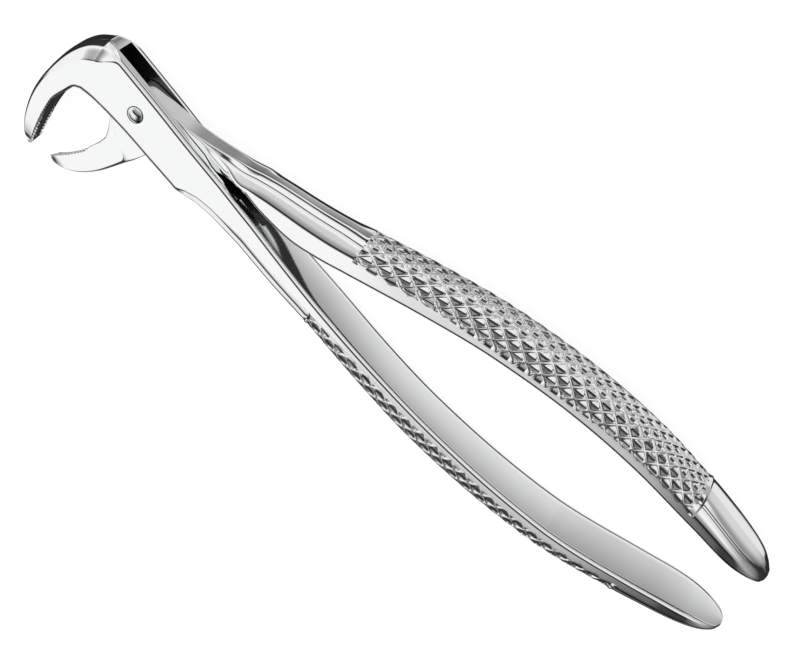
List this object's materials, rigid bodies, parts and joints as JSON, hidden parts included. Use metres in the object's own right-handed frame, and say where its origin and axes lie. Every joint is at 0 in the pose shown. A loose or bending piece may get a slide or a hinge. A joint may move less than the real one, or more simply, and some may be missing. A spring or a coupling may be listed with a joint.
{
  "type": "dental extraction forceps",
  "caption": "Polished steel tooth extraction forceps with hooked beaks set square to the handles, a riveted box joint, and curved handles with a raised diamond grip.",
  "frame": {"origin": "middle of the bounding box in plan, on the surface the tool lies on", "axes": "+X along the handles away from the beaks, +Y towards the inner lever's handle, +Z along the pivot pin, out of its domed head"},
  "size_m": [0.1706, 0.042, 0.0122],
  "materials": {
    "polished_steel": "mirror-polished stainless steel with very fine polishing marks",
    "handle_steel": "polished stainless steel, satin on the inner faces, bright raised diamond ridges",
    "pin_steel": "polished rivet head, slightly darker"
  },
  "bodies": {
    "outer_lever": {"outer_beak": "polished_steel", "joint_box": "polished_steel", "outer_handle": "handle_steel", "pivot_pin": "pin_steel"},
    "inner_lever": {"inner_beak": "polished_steel", "joint_tongue": "polished_steel", "inner_handle": "handle_steel"}
  },
  "joints": [
    {"name": "box_joint", "type": "hinge", "parent": "outer_lever", "child": "inner_lever", "pos_m": [-0.06465, 0.00321, 0.0061], "axis": [0, 0, 1], "range_deg": [-4, 25]}
  ]
}
